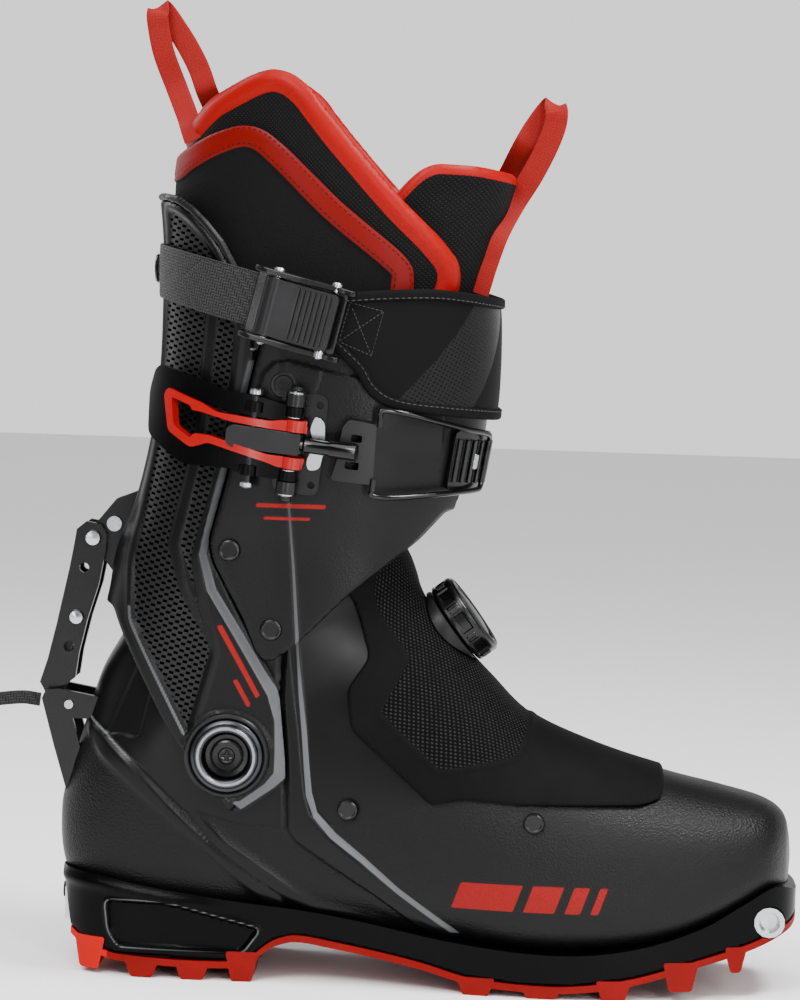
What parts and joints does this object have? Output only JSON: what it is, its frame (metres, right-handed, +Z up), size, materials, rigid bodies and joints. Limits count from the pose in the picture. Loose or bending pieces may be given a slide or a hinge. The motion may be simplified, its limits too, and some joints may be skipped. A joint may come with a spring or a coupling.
{
  "type": "alpine touring boot",
  "caption": "Right alpine touring boot: shell with tech inserts and rubber sole, hinged cuff with heel lock, lever buckle, power strap, lacing dial and inner boot.",
  "frame": {"origin": "middle of the boot's bounding box, on the ground", "axes": "+X towards the toe, +Y towards the inner side of the foot, +Z up"},
  "size_m": [0.3436, 0.1202, 0.3825],
  "materials": {
    "black_shell": "pebbled satin black plastic",
    "carbon": "black composite with a short woven pattern",
    "black_plastic": "matt black plastic",
    "black_metal": "black anodised",
    "steel": "bare steel",
    "red_plastic": "bright red plastic",
    "red_rubber": "red sole rubber",
    "black_fabric": "black soft shell fabric and mesh",
    "red_fabric": "red padded lining and webbing"
  },
  "bodies": {
    "shell": {"lower_shell": "black_shell", "sole_plate": "black_shell", "outsole": "red_rubber", "toe_insert": "steel", "heel_insert": "steel", "heel_insert_screw": "black_metal", "boot_board": "black_plastic", "liner_foot": "black_fabric", "footbed": "black_fabric", "gaiter": "black_fabric", "dial_base": "black_plastic", "lace": "steel", "pivot_bolt_lateral": "black_metal", "pivot_bolt_medial": "black_metal", "gaiter_rivet_lateral_1": "black_metal", "gaiter_rivet_lateral_2": "black_metal", "gaiter_rivet_medial_1": "black_metal", "gaiter_rivet_medial_2": "black_metal", "catch_cheek_lateral": "black_metal", "catch_cheek_medial": "black_metal", "catch_axle": "steel"},
    "cuff": {"cuff_rear": "carbon", "cuff_front": "black_shell", "spoiler": "carbon", "pivot_ring_lateral": "steel", "pivot_ring_medial": "steel", "cuff_rivet_lateral_1": "black_metal", "cuff_rivet_lateral_2": "black_metal", "cuff_rivet_medial_1": "black_metal", "cuff_rivet_medial_2": "black_metal", "spine_bracket": "black_metal", "bracket_bolt": "steel", "lock_pin": "steel", "liner_flap": "black_fabric", "liner_cuff": "red_fabric", "tongue": "black_fabric", "rear_loop": "red_fabric", "front_loop": "red_fabric", "power_strap": "black_fabric", "strap_rivet": "steel", "strap_pad": "black_fabric", "strap_buckle_frame": "black_plastic", "strap_buckle_pin": "steel", "buckle_base": "black_metal", "buckle_rack": "black_plastic"},
    "lock": {"lock_lever": "black_metal", "lock_jaw": "steel", "jaw_pin": "steel", "lock_pull_tab": "black_fabric"},
    "buckle_lever": {"buckle_lever": "black_metal", "buckle_lever_insert": "red_plastic", "buckle_link_pin": "steel"},
    "buckle_link": {"tension_block": "black_metal", "tension_rod": "steel", "tension_plate": "steel", "bail_tube": "black_metal"},
    "bail": {"wire_bail": "black_metal"},
    "strap_cam": {"strap_buckle_lever": "black_plastic"},
    "dial_hub": {"dial_hub": "black_plastic"},
    "dial_knob": {"dial_knob": "black_plastic"}
  },
  "joints": [
    {"name": "cuff_flex", "type": "hinge", "parent": "shell", "child": "cuff", "pos_m": [-0.05316, 0.00525, 0.09], "axis": [0, 1, 0], "range_deg": [-18, 22]},
    {"name": "lock_swing", "type": "hinge", "parent": "cuff", "child": "lock", "pos_m": [-0.11176, 0.00525, 0.1702], "axis": [0, -1, 0], "range_deg": [-70, 4.5]},
    {"name": "buckle_open", "type": "hinge", "parent": "cuff", "child": "buckle_lever", "pos_m": [-0.03105, -0.0505, 0.21321], "axis": [0.0917, -0.0645, 0.9937], "range_deg": [0, 140]},
    {"name": "link_swing", "type": "hinge", "parent": "buckle_lever", "child": "buckle_link", "pos_m": [-0.04641, -0.04748, 0.21466], "axis": [0.0917, -0.0645, 0.9937], "range_deg": [-140, 0]},
    {"name": "bail_swing", "type": "hinge", "parent": "buckle_link", "child": "bail", "pos_m": [0.00194, -0.04904, 0.21009], "axis": [-0.0917, 0.0645, -0.9937], "range_deg": [0, 25]},
    {"name": "strap_cam_open", "type": "hinge", "parent": "cuff", "child": "strap_cam", "pos_m": [-0.03991, -0.05656, 0.26547], "axis": [-0.2394, 0.0439, -0.9699], "range_deg": [0, 60]},
    {"name": "dial_pull", "type": "slide", "parent": "shell", "child": "dial_hub", "axis": [0.7986, 0, 0.6018], "range_m": [0, 0.003]},
    {"name": "dial_turn", "type": "hinge", "parent": "dial_hub", "child": "dial_knob", "pos_m": [0.03234, 0.00525, 0.1392], "axis": [0.7986, 0, 0.6018], "continuous": true}
  ],
  "couplings": [
    {"joint": "link_swing", "follows": "buckle_open", "ratio": -1}
  ]
}
